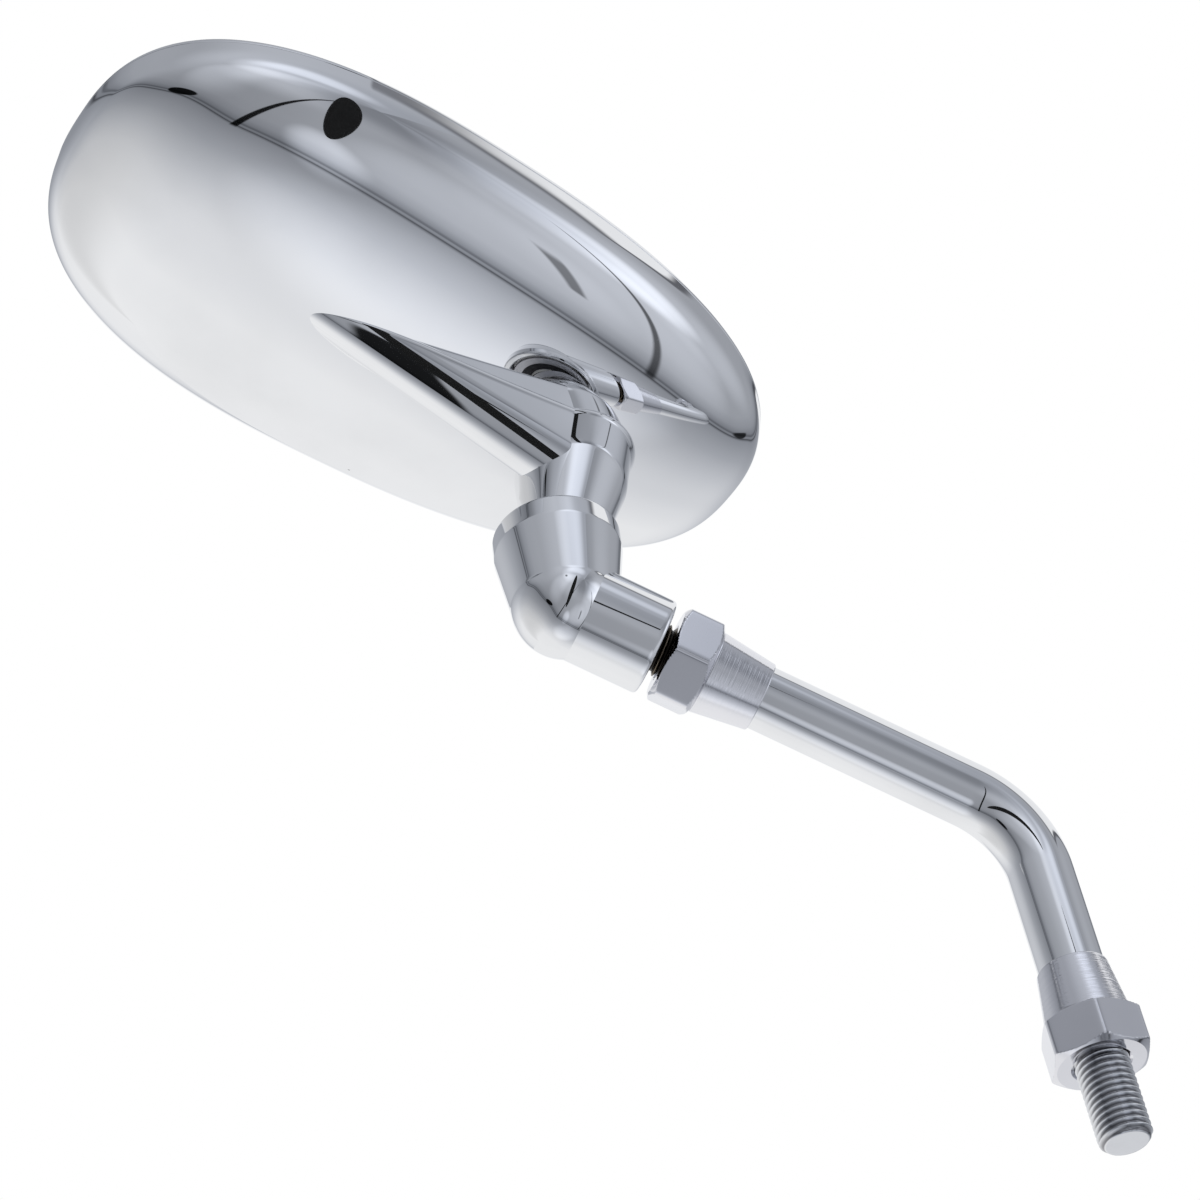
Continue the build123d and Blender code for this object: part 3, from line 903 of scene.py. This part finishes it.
@dataclass
class Head:
    """Moulded shell with its ridge and boss, the bezel and the convex glass."""

    half_length: float = 72.03
    half_width: float = 38.34
    squareness: float = 2.5
    taper: float = -0.11
    depth: float = 20.1
    rim_band: float = 1.5
    crown: float = 2.11
    shoulder: float = 2.79
    wall: float = 2.0
    boss_radius: float = 10.6
    boss_tip_radius: float = 7.5
    boss_tip_height: float = 7.0
    boss_cone_end: float = 23.0
    stud_hole: float = 3.0
    boss_floor: float = 5.5
    ridge_radius: float = 6.0
    ridge_height: float = 21.2
    ridge_across: float = -3.5
    ridge_rise: float = 13.6
    ridge_yaw: float = 3.5
    ridge_taper: float = 1.6
    blend: float = 0.7
    glass_curve: float = 1400.0
    glass_thickness: float = 2.0
    glass_inset: float = 2.15
    bezel_thickness: float = 1.27
    bezel_width: float = 3.4
    bezel_edge: float = 0.5
    bezel_inner_edge: float = 0.4
    bezel_seat: float = 0.3
    bezel_foot: float = 0.2
    bezel_ease: float = 0.1
    boss_straight: float = 3.0
    boss_eases: tuple[float, ...] = (0.0, 0.1, 0.4, 0.9, 0.0)
    skirt: float = 0.3
    skirt_depth: float = 0.02
    dome_rows: int = 170
    dome_power: float = 1.15
    dome_columns: int = 440
    inner_step: int = 4
    ridge_reach: float = 75.0
    ridge_trials: int = 3000
    ridge_rows: int = 260
    ridge_power: float = 1.8
    ridge_fade: float = 2.0
    least_fillet: float = 0.05
    crest_steps: int = 28
    wall_steps: int = 12
    fillet_steps: int = 16
    glass_rows: int = 60
    glass_overlap: float = 0.1
    glass_seat: float = 0.05
    shell_sharp: float = 50.0
    glass_sharp: float = 40.0

    def egg(self, angle: np.ndarray, inset: np.ndarray | float, share: np.ndarray | float = 1.0) -> tuple:
        """Egg outline: a superellipse that narrows along its length.

        Args:
            angle: parameter round the outline.
            inset: how far it is drawn in.
            share: scale of the section, 1 at the rim.

        Returns:
            x and y in the rim's frame.
        """
        power = 2 / self.squareness
        c, s = np.cos(angle), np.sin(angle)
        x = (self.half_length - inset) * share * np.sign(c) * np.abs(c) ** power
        y = (self.half_width - inset) * share * np.sign(s) * np.abs(s) ** power
        return x, y * (1 + self.taper * x / self.half_length)

    def back(self, x: np.ndarray, y: np.ndarray) -> np.ndarray:
        """Height of the shell's back over the ball's frame, at places in that frame.

        The share of the outline that passes through a place gives the drop of its section.

        Args:
            x: place along the head.
            y: place across the head.

        Returns:
            The height there.
        """
        x, y = x + LAYOUT.boss_along, y + LAYOUT.boss_across
        width = self.half_width * (1 + self.taper * x / self.half_length)
        power = self.squareness
        share = (np.abs(x / self.half_length) ** power + np.abs(y / width) ** power) ** (1 / power)
        drop = np.maximum(1 - share**self.crown, 0.0) ** (1 / self.shoulder)
        return LAYOUT.rim_height - self.rim_band - (self.depth - self.rim_band) * drop

    def dome(self, inset: float) -> np.ndarray:
        """Rows of sections from the crown round the shoulder to the rim plane.

        Args:
            inset: how far the skin is drawn in.

        Returns:
            Grid of points in the rim's frame.
        """
        step = np.linspace(0.0, 1.0, self.dome_rows) ** self.dome_power
        swing = np.radians(90.0 * (1 - step))[:, None]
        share = np.cos(swing) ** (2 / self.crown)
        drop = np.sin(swing) ** (2 / self.shoulder)
        angle = np.linspace(0.0, 2 * np.pi, self.dome_columns, endpoint=False)[None, :]
        x, y = self.egg(angle, inset, share)
        z = np.broadcast_to(-self.rim_band - (self.depth - inset - self.rim_band) * drop, x.shape)
        skin = np.stack([x, y, z], axis=-1)
        skin[0, :, :2] = 0.0
        lip = skin[-1:].copy()
        lip[..., 2] = 0.0
        return np.concatenate([skin, lip])

    def shell(self) -> bpy.types.Object:
        """Shell: the outer dome out to the rim, over its edge and back down the inner dome.

        Returns:
            The shell's object.
        """
        outer, inner = self.dome(0.0), self.dome(self.wall)
        grid = np.concatenate([outer, inner[-1:], inner[::self.inner_step][::-1]])
        made = piece("head_shell", LAYOUT.rim.put(grid), Body.HEAD)
        made.data.set_sharp_from_angle(angle=radians(self.shell_sharp))
        return made

    def ridge(self) -> bpy.types.Object:
        """Ridge: a round crest on straight walls that sinks into the back, eased into it at its foot.

        Each station's half profile is an arc from the crest, a wall and a hollow fillet arc. The
        fillet touches the crest's circle where its centre lies one fillet above the back.

        Returns:
            The ridge's object.
        """
        trial = np.linspace(0.0, self.ridge_reach, self.ridge_trials)
        sink = self._sink(trial)
        end = trial[np.argmax(sink >= self._crest(trial))]
        left = 1 - np.linspace(0.0, 1.0, self.ridge_rows)
        along = (end * (1 - left**self.ridge_power))[:, None]
        radius, sink = self._crest(along), self._sink(along)
        fillet = self.blend * np.clip((radius - sink) / self.ridge_fade, self.least_fillet, 1.0)
        touch = np.arccos(np.clip((sink + fillet) / (radius + fillet), 0.0, 1.0))
        upright = np.maximum(-(sink + fillet), 0.0)
        crest_t = np.linspace(0.0, 1.0, self.crest_steps)[None, :]
        arc_y, arc_z = radius * np.sin(touch * crest_t), sink - radius * np.cos(touch * crest_t)
        wall_t = np.linspace(0.0, 1.0, self.wall_steps)[None, 1:-1]
        wall_y, wall_z = radius * np.sin(touch) + 0 * wall_t, arc_z[:, -1:] + upright * wall_t
        back_t = np.linspace(1.0, 0.0, self.fillet_steps)[None, :]
        foot = (radius + fillet) * np.sin(touch)
        fill_y = foot - fillet * np.sin(touch * back_t)
        fill_z = -fillet + fillet * np.cos(touch * back_t)
        y = np.concatenate([arc_y, wall_y, fill_y, foot + self.skirt], axis=1)
        z = np.concatenate([arc_z, wall_z, fill_z, 0 * foot + self.skirt_depth], axis=1)
        y = np.concatenate([-y[:, :0:-1], y], axis=1)
        z = np.concatenate([z[:, :0:-1], z], axis=1)
        x = np.broadcast_to(-along, y.shape)
        y = y + self.ridge_across + along * tan(radians(self.ridge_yaw))
        grid = np.stack([x, y, self.back(x, y) + z], axis=-1)
        return piece("head_ridge", LAYOUT.head.put(grid), Body.HEAD, ring=False)

    def _crest(self, along: np.ndarray) -> np.ndarray:
        """Radius of the ridge's crest at a distance from the boss."""
        return self.ridge_radius - along * tan(radians(self.ridge_taper))

    def _sink(self, along: np.ndarray) -> np.ndarray:
        """How far the crest's centre lies under the back at a distance from the boss."""
        across = self.ridge_across + along * tan(radians(self.ridge_yaw))
        return self.ridge_height + along * tan(radians(self.ridge_rise)) - self.back(-along, across)

    def boss(self) -> bpy.types.Object:
        """Boss: a spun cone and wall whose foot spreads in a quarter round onto the back.

        Returns:
            The boss's object.
        """
        tip, cone = self.boss_tip_height, self.boss_cone_end
        corners = [
            (self.stud_hole, tip + self.boss_floor), (self.stud_hole, tip), (self.boss_tip_radius, tip),
            (self.boss_radius, cone), (self.boss_radius, cone + self.boss_straight),
        ]
        grid = spun(rounded(corners, list(self.boss_eases)), CLOSE_SEGMENTS)
        around = np.arctan2(grid[-1, :, 1], grid[-1, :, 0])[None, :]
        swing = np.radians(np.linspace(0.0, 90.0, self.fillet_steps))[:, None]
        radius = self.boss_radius + self.blend * (1 - np.cos(swing))
        radius = np.concatenate([radius, radius[-1:] + self.skirt])
        lift = np.concatenate([self.blend * (np.sin(swing) - 1), [[self.skirt_depth]]])
        x, y = radius * np.cos(around), radius * np.sin(around)
        foot = np.stack([x, y, self.back(x, y) + lift], axis=-1)
        return piece("head_boss", LAYOUT.head.put(np.concatenate([grid, foot])), Body.HEAD)

    def glass_front(self, x: np.ndarray, y: np.ndarray) -> np.ndarray:
        """Height of the glass's convex front over the rim plane: the cap of a large ball."""
        sag = (self.half_width - self.glass_inset) ** 2 / (2 * self.glass_curve)
        return sag - self.glass_curve + np.sqrt(self.glass_curve**2 - x**2 - y**2)

    def glass(self) -> bpy.types.Object:
        """Glass: rings of the outline over the front cap, and back again one thickness below.

        Returns:
            The glass's object.
        """
        share = np.linspace(0.0, 1.0, self.glass_rows)[:, None]
        angle = np.linspace(0.0, 2 * np.pi, CLOSE_SEGMENTS, endpoint=False)[None, :]
        x, y = self.egg(angle, self.glass_inset, share)
        front = np.stack([x, y, self.glass_front(x, y)], axis=-1)
        back = front[::-1].copy()
        back[..., 2] -= self.glass_thickness
        made = piece("convex_glass", LAYOUT.rim.put(np.concatenate([front, back])), Body.HEAD)
        made.data.set_sharp_from_angle(angle=radians(self.glass_sharp))
        return made

    def bezel(self) -> bpy.types.Object:
        """Bezel: a small rounded section carried round the outline, down to the glass inside.

        Returns:
            The bezel's object.
        """
        top, width = self.bezel_thickness, self.bezel_width
        seat = self.bezel_seat
        corners = [(seat, 0.0), (0.0, self.bezel_foot), (0.0, top), (width, top), (width, seat)]
        section = rounded(corners, [0.0, self.bezel_ease, self.bezel_edge, self.bezel_inner_edge, 0.0])
        angle = np.linspace(0.0, 2 * np.pi, OUTLINE_SEGMENTS, endpoint=False)[None, :]
        x, y = self.egg(angle, section[:, :1])
        z = np.broadcast_to(section[:, 1:], x.shape)
        outer = np.stack([x, y, z], axis=-1)
        inset = np.array([[width], [self.glass_inset + self.glass_overlap], [seat]])
        x, y = self.egg(angle, inset)
        low = np.stack([x, y, np.minimum(self.glass_front(x, y) - self.glass_seat, 0.0)], axis=-1)
        low[-1, :, 2] = 0.0
        return piece("head_bezel", LAYOUT.rim.put(np.concatenate([outer, low])), Body.HEAD)

    def build(self) -> None:
        """Makes and dresses the shell, ridge, boss, bezel and glass."""
        shell, ridge, boss, bezel = self.shell(), self.ridge(), self.boss(), self.bezel()
        glass = self.glass()
        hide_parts("mirror_housing")
        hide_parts("bezel")
        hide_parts("mirror_glass")
        for made in (shell, ridge, boss, bezel):
            dress(made, bpy.data.materials["polished_chrome"])
        dress(glass, bpy.data.materials["silvered_glass"])


# Studio


@dataclass(frozen=True)
class Patch:
    """Light or dark patch in the room.

    Args:
        azimuth: its middle round the room, in degrees from the camera's side.
        wide: half its width in degrees.
        elevation: its middle over the level, in degrees.
        tall: half its height in degrees.
        gain: what it adds to the room's light, as a share.
        lean: how far its middle moves round per degree of elevation.
        soft: share of its radius, squared, over which it fades.
    """

    azimuth: float
    wide: float
    elevation: float
    tall: float
    gain: float
    lean: float = 0.0
    soft: float = 1.0

    def mask(self, nodes: Nodes, azimuth: Socket, elevation: Socket) -> Socket:
        """1 in its middle, falling off smoothly to 0 on a leaning ellipse of its width and height.

        Args:
            nodes: the node tree to add to.
            azimuth: azimuth of the ray in degrees.
            elevation: elevation of the ray in degrees.

        Returns:
            The mask.
        """
        rise = nodes.math("SUBTRACT", elevation, self.elevation)
        middle = nodes.math("MULTIPLY_ADD", rise, self.lean, self.azimuth)
        across = nodes.math("DIVIDE", nodes.math("SUBTRACT", azimuth, middle), self.wide)
        along = nodes.math("DIVIDE", rise, self.tall)
        far = nodes.math("MULTIPLY_ADD", across, across, nodes.math("MULTIPLY", along, along))
        return nodes.smooth(far, 1.0, 1.0 - self.soft)


@dataclass(frozen=True)
class Figure:
    """Upright figure in the room, whose middle bends with elevation like a parabola.

    Args:
        base: azimuth of its middle at the level, in degrees.
        lean: how far its middle moves round per degree of elevation.
        bend: how fast that lean grows with elevation.
        wide: half its width at the level, in degrees.
        spread: how fast that width grows with elevation.
        low: elevation of its foot.
        high: elevation of its top.
        depth: how strongly it shows.
        soft: half the width of its soft sides.
        foot_soft: half the height of its soft foot.
        top_soft: half the height of its soft top.
    """

    base: float
    lean: float
    bend: float
    wide: float
    spread: float
    low: float
    high: float
    depth: float
    soft: float = 0.5
    foot_soft: float = 1.0
    top_soft: float = 3.0

    def mask(self, nodes: Nodes, azimuth: Socket, elevation: Socket) -> Socket:
        """1 inside the figure and 0 outside, with soft edges.

        Args:
            nodes: the node tree to add to.
            azimuth: azimuth of the ray in degrees.
            elevation: elevation of the ray in degrees.

        Returns:
            The mask.
        """
        slope = nodes.math("MULTIPLY_ADD", elevation, self.bend, self.lean)
        middle = nodes.math("MULTIPLY_ADD", elevation, slope, self.base)
        away = nodes.math("ABSOLUTE", nodes.math("SUBTRACT", azimuth, middle))
        half = nodes.math("MULTIPLY_ADD", elevation, self.spread, self.wide)
        inside = nodes.smooth(nodes.math("SUBTRACT", away, half), self.soft, -self.soft)
        foot = nodes.smooth(elevation, self.low - self.foot_soft, self.low + self.foot_soft)
        top = nodes.smooth(elevation, self.high + self.top_soft, self.high - self.top_soft)
        return nodes.math("MULTIPLY", inside, nodes.math("MULTIPLY", foot, top))


@dataclass
class Studio:
    """White table, grey room, pale floor and the camera of the photograph."""

    up: np.ndarray = field(default_factory=lambda: np.array([0.350, -0.893, 0.283]))
    view: np.ndarray = field(default_factory=lambda: np.array([0.3832, 0.7007, 0.602]))
    right: np.ndarray = field(default_factory=lambda: np.array([0.9217, -0.3344, -0.1975]))
    eye: tuple[float, float, float] = (-0.36135, -0.5263, -0.3539)
    focal_share: float = 4150.0 / 1200.0
    floor_height: float = -0.45
    levels: tuple[tuple[float, float], ...] = (
        (-90, 0.95), (-60, 0.92), (-48, 0.80), (-38, 0.62), (-26, 0.43), (-13, 0.30),
        (-12.1, 0.28), (-11.7, 0.07), (-10.9, 0.07), (-10.5, 0.25), (-9.6, 0.24), (-9.2, 0.13),
        (-8.6, 0.13), (-8.1, 0.22), (-4, 0.32), (2, 0.38), (12, 0.40), (46, 0.40), (55, 0.36),
        (61, 0.31), (67, 0.27), (73, 0.25), (90, 0.24),
    )
    patches: tuple[Patch, ...] = (
        Patch(91.0, 51.0, 62.0, 21.0, 1.35, 0.39),
        Patch(61.0, 34.0, 45.0, 62.0, 0.58),
        Patch(16.0, 8.0, -1.0, 17.0, 0.82, -0.23),
        Patch(32.0, 20.0, 10.0, 34.0, 0.40),
        Patch(-174.0, 92.0, 90.0, 70.0, 0.70, -1.20),
        Patch(-128.0, 40.0, 68.0, 15.0, 1.10, -1.20),
        Patch(-95.0, 75.0, 68.0, 20.0, 0.80),
        Patch(-51.0, 57.0, 73.0, 44.0, 0.42, -0.88),
        Patch(37.0, 30.0, -31.0, 21.0, 0.44, 0.13),
        Patch(-43.0, 63.0, -22.0, 90.0, -0.24, 0.36),
        Patch(113.0, 56.0, 55.0, 42.0, 0.48),
        Patch(-52.0, 28.0, 46.0, 44.0, 0.39, -0.72),
        Patch(-30.0, 10.0, 2.0, 4.0, -1.3, soft=0.5),
        Patch(100.0, 6.0, 0.5, 5.0, -0.9, 2.3, soft=0.6),
    )
    figures: tuple[Figure, ...] = (
        Figure(0.64, -0.042, -0.0007, 0.9, -0.005, -12.0, 73.0, 0.97, 0.15),
        Figure(41.3, -0.1, 0.0, 0.7, 0.035, 8.0, 25.0, 0.65),
        Figure(52.8, 0.095, 0.0025, 0.9, 0.0, -11.0, 66.0, 0.80),
    )
    backdrop: Figure = Figure(180.0, 0.0, 0.0, 15.0, 0.0, -40.0, 47.0, 1.0)
    backdrop_edge: Figure = Figure(180.0, 0.0, 0.0, 16.5, 0.0, -12.0, 51.0, 0.75)
    least_light: float = 0.02
    cool_share: float = 0.10
    white: tuple[float, ...] = (1.0, 1.0, 1.0, 1.0)
    backdrop_colour: tuple[float, ...] = (0.90, 0.91, 0.93, 1.0)
    edge_colour: tuple[float, ...] = (0.05, 0.05, 0.06, 1.0)
    rise_left: float = 10.0
    left_azimuth: float = -48.0
    left_wide: float = 52.0
    rise_right: float = 13.0
    right_range: tuple[float, float] = (60.0, 120.0)
    rise_behind: float = -5.0
    behind_range: tuple[float, float] = (-95.0, -155.0)
    floor_reach: float = 6.0
    floor_grey: float = 0.9
    floor_roughness: float = 0.9
    flag_grey: float = 0.01
    flag_points: int = 64
    flag_from: tuple[float, float, float] = (-0.1244, -0.0428, 0.1707)
    flag_azimuth: float = 9.1
    flag_elevation: float = 49.0
    flag_away: float = 0.35
    flag_half_width: float = 0.024
    flag_half_height: float = 0.28
    flag_lean: float = -0.155

    def axes(self) -> tuple[np.ndarray, np.ndarray, np.ndarray]:
        """The room's directions.

        Returns:
            Unit vectors to the camera's side of the room, across it and up.
        """
        up = self.up / np.linalg.norm(self.up)
        front = -self.view - (-self.view @ up) * up
        front = front / np.linalg.norm(front)
        return front, np.cross(up, front), up

    def camera(self) -> None:
        """Camera at the photograph's place, with its angle of view."""
        back = -self.view / np.linalg.norm(self.view)
        right = self.right - back * (self.right @ back)
        right = right / np.linalg.norm(right)
        upward = np.cross(back, right)
        data = bpy.data.cameras.new("photo_camera")
        data.lens = data.sensor_width * self.focal_share
        eye = bpy.data.objects.new("photo_camera", data)
        axes = Matrix(np.column_stack([right, upward, back]).tolist()).to_4x4()
        eye.matrix_world = Matrix.Translation(self.eye) @ axes
        bpy.context.collection.objects.link(eye)
        bpy.context.scene.camera = eye

    @staticmethod
    def staged(name: str, points: np.ndarray, look: str, grey: float, roughness: float) -> bpy.types.Object:
        """One flat face of the stage with a plain material.

        Args:
            name: the object's name.
            points: its corners in order.
            look: its material's name.
            grey: its colour.
            roughness: its roughness.

        Returns:
            The object.
        """
        mesh = bpy.data.meshes.new(name)
        mesh.from_pydata(points, [], [list(range(len(points)))])
        made = bpy.data.objects.new(name, mesh)
        bpy.context.collection.objects.link(made)
        material = bpy.data.materials.new(look)
        material.use_nodes = True
        shader = material.node_tree.nodes["Principled BSDF"]
        shader.inputs["Base Color"].default_value = (grey, grey, grey, 1.0)
        shader.inputs["Roughness"].default_value = roughness
        mesh.materials.append(material)
        return made

    def floor(self) -> None:
        """Plain pale floor far under the mirror, left out of its reflections."""
        square = np.array([(-1.0, -1.0), (1.0, -1.0), (1.0, 1.0), (-1.0, 1.0)]) * self.floor_reach
        points = np.column_stack([square, np.full(len(square), self.floor_height)])
        made = self.staged("floor", points, "pale_floor", self.floor_grey, self.floor_roughness)
        made.visible_glossy = False

    def flag(self) -> None:
        """Black leaning ellipse beside the camera, seen only as the drop that the shell mirrors."""
        front, side, up = self.axes()
        azimuth, elevation = radians(self.flag_azimuth), radians(self.flag_elevation)
        level = np.cos(azimuth) * front + np.sin(azimuth) * side
        out = np.cos(elevation) * level + np.sin(elevation) * up
        across = np.cross(up, level)
        along = np.cross(out, across) + self.flag_lean * across
        angle = np.linspace(0.0, 2 * np.pi, self.flag_points, endpoint=False)[:, None]
        ring = self.flag_half_width * np.cos(angle) * across + self.flag_half_height * np.sin(angle) * along
        middle = np.array(self.flag_from) + self.flag_away * out
        made = self.staged("flag", middle + ring, "black_flag", self.flag_grey, 1.0)
        made.visible_camera = False
        made.visible_diffuse = False
        made.visible_shadow = False

    def horizon(self, nodes: Nodes, azimuth: Socket) -> Socket:
        """How far the table's far edge rises round the room, in degrees.

        Args:
            nodes: the node tree to add to.
            azimuth: azimuth of the ray in degrees.

        Returns:
            The rise at that azimuth.
        """
        away = nodes.math("DIVIDE", nodes.math("SUBTRACT", azimuth, self.left_azimuth), self.left_wide)
        left = nodes.smooth(nodes.math("MULTIPLY", away, away), 1.0, 0.0)
        right = nodes.smooth(azimuth, *self.right_range)
        behind = nodes.smooth(azimuth, *self.behind_range)
        rise = nodes.math("MULTIPLY", left, self.rise_left)
        rise = nodes.math("MULTIPLY_ADD", right, self.rise_right, rise)
        return nodes.math("MULTIPLY_ADD", behind, self.rise_behind, rise)

    def world(self) -> None:
        """Surroundings by direction: white table under a grey room, white behind, dark upright figures."""
        world = bpy.data.worlds.new("studio")
        bpy.context.scene.world = world
        world.use_nodes = True
        world.node_tree.nodes.clear()
        nodes = Nodes(world.node_tree)
        front, side, up = self.axes()
        ray = nodes.add("ShaderNodeTexCoord").outputs["Generated"]
        ahead = nodes.dot(ray, front)
        elevation = nodes.math("DEGREES", nodes.math("ARCSINE", nodes.dot(ray, up)))
        azimuth = nodes.math("DEGREES", nodes.math("ARCTAN2", nodes.dot(ray, side), ahead))
        height = nodes.math("SUBTRACT", elevation, self.horizon(nodes, azimuth))
        level = nodes.math("MULTIPLY_ADD", height, 1 / 180.0, 0.5)
        colour = nodes.ramp(level, [self._stop(*stop) for stop in self.levels])
        light: Input = 1.0
        for patch in self.patches:
            light = nodes.math("MULTIPLY_ADD", patch.mask(nodes, azimuth, elevation), patch.gain, light)
        for figure in self.figures:
            shade = nodes.math("MULTIPLY_ADD", figure.mask(nodes, azimuth, elevation), -figure.depth, 1.0)
            light = nodes.math("MULTIPLY", light, shade)
        light = nodes.math("MAXIMUM", light, self.least_light)
        colour = nodes.mix(1.0, colour, light, "MULTIPLY")
        behind = nodes.math("WRAP", azimuth, 360.0, 0.0)
        for figure, shown in (
            (self.backdrop_edge, self.edge_colour),
            (self.backdrop, self.backdrop_colour),
        ):
            share = nodes.math("MULTIPLY", figure.mask(nodes, behind, elevation), figure.depth)
            colour = nodes.mix(share, colour, shown)
        path = nodes.add("ShaderNodeLightPath")
        seen = nodes.mix(path.outputs["Is Camera Ray"], colour, self.white)
        sky = nodes.add("ShaderNodeBackground")
        nodes.feed(sky.inputs["Color"], seen)
        out = nodes.add("ShaderNodeOutputWorld")
        nodes.feed(out.inputs["Surface"], sky.outputs[0])

    def _stop(self, angle: float, value: float) -> tuple[float, tuple]:
        """Ramp stop at an elevation, cooler where the room is darker."""
        cool = self.cool_share * (1 - value)
        return angle / 180.0 + 0.5, (value * (1 - cool), value * (1 - 0.3 * cool), value * (1 + 1.3 * cool))

    def build(self) -> None:
        """Sets up the camera, the floor, the flag and the surroundings."""
        bpy.context.scene.view_settings.view_transform = "Standard"
        self.camera()
        self.floor()
        self.flag()
        self.world()


FINISHES = (
    Finish("polished_chrome", (0.86, 0.865, 0.875), 1.0, 0.012, 0.02, 1e-6),
    Finish("silvered_glass", (0.83, 0.86, 0.87), 1.0, 0.015, 0.02, coat=1.0),
    Finish("plain_steel", (0.55, 0.55, 0.57), 1.0, 0.32, 0.15),
    Finish("black_acetal", (0.03, 0.03, 0.033), 0.0, 0.45, 0.15),
    Finish("white_acetal", (0.78, 0.77, 0.73), 0.0, 0.40, 0.15),
    Finish("black_rubber", (0.02, 0.02, 0.02), 0.0, 0.70, 0.10),
)
LOWER_NUT_SPIN = 9.0
LOCK_NUT_SPIN = 5.0
CARRIED = {
    "preload_spring": "plain_steel",
    "retaining_ring": "plain_steel",
    "seat_lower": "black_acetal",
    "seat_upper": "black_acetal",
    "ball_liner": "white_acetal",
    "ball_stud": "plain_steel",
    "stud_washer": "plain_steel",
    "stud_nut": "plain_steel",
    "rim_gasket": "black_rubber",
}


def main() -> None:
    """Builds the studio, the finishes and the sub-assemblies in order."""
    logging.basicConfig(level=logging.INFO, format="%(name)s: %(message)s")
    Studio().build()
    MARKS.build()
    RINGS.build()
    for finish in FINISHES:
        finish.build()
    stem = Stem()
    stem.build()
    lock_place = LAYOUT.leg.moved(0.0, 0.0, stem.leg_length + stem.lock_gap)
    for nut in (
        HexNut("foot_nut", "lower_nut", Body.LOWER_NUT, LAYOUT.base, stem.lower_nut_height, LOWER_NUT_SPIN),
        HexNut("jam_nut", "lock_nut", Body.LOCK_NUT, lock_place, stem.lock_nut_height, LOCK_NUT_SPIN),
    ):
        nut.build()
    Knuckle().build()
    Head().build()
    for node, finish in CARRIED.items():
        dress(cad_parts[node], bpy.data.materials[finish])
        LOG.info("%s carries %s", node, finish)


if __name__ == "__main__":
    main()
